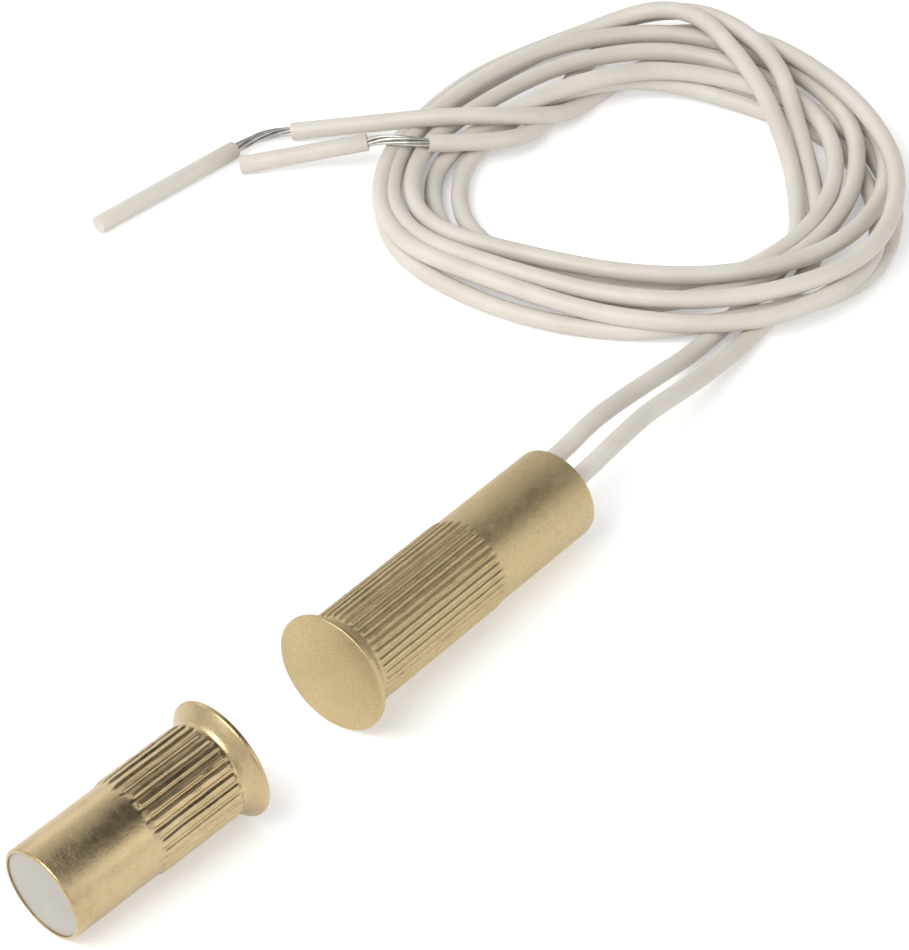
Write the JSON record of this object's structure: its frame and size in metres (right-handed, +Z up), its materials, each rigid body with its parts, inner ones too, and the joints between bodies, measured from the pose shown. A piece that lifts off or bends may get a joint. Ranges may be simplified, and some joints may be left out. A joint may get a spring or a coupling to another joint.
{
  "type": "recessed magnetic contact",
  "caption": "Recessed magnetic contact: reed switch in a ridged brass barrel with a flanged face and two coiled leads, and its matching magnet in a shorter barrel.",
  "frame": {"origin": "on the floor, under the middle of the two barrels", "axes": "+X along the switch from its flange to its leads, +Z up, both barrels lying on the floor"},
  "size_m": [0.1223, 0.0606, 0.0102],
  "materials": {
    "turned_brass": "satin turned brass, pale gold",
    "potting_resin": "smooth grey-white casting resin",
    "lead_insulation": "satin cream-white soft insulation",
    "tinned_copper": "bright tinned strands",
    "reed_alloy": "nickel-iron reed wire",
    "solder": "smooth solder",
    "capsule_glass": "clear greenish glass",
    "sleeve_plastic": "black shrink sleeve",
    "magnet_alloy": "dull cast magnet alloy"
  },
  "bodies": {
    "root": {"switch_housing": "turned_brass", "magnet_housing": "turned_brass", "switch_potting": "potting_resin", "magnet_potting": "potting_resin", "insulating_sleeve": "sleeve_plastic", "reed_capsule": "capsule_glass", "reed_blade_front": "reed_alloy", "reed_blade_rear": "reed_alloy", "solder_joint_front": "solder", "solder_joint_rear": "solder", "lead_a_core": "tinned_copper", "lead_b_core": "tinned_copper", "lead_a_inner": "lead_insulation", "lead_b_inner": "lead_insulation", "bar_magnet": "magnet_alloy", "lead_a_exit": "lead_insulation", "lead_b_exit": "lead_insulation", "lead_coil": "lead_insulation", "lead_a_tail": "lead_insulation", "lead_b_tail": "lead_insulation", "lead_a_strands": "tinned_copper", "lead_b_strands": "tinned_copper", "lead_a_slug": "lead_insulation", "lead_b_slug": "lead_insulation"}
  },
  "joints": []
}
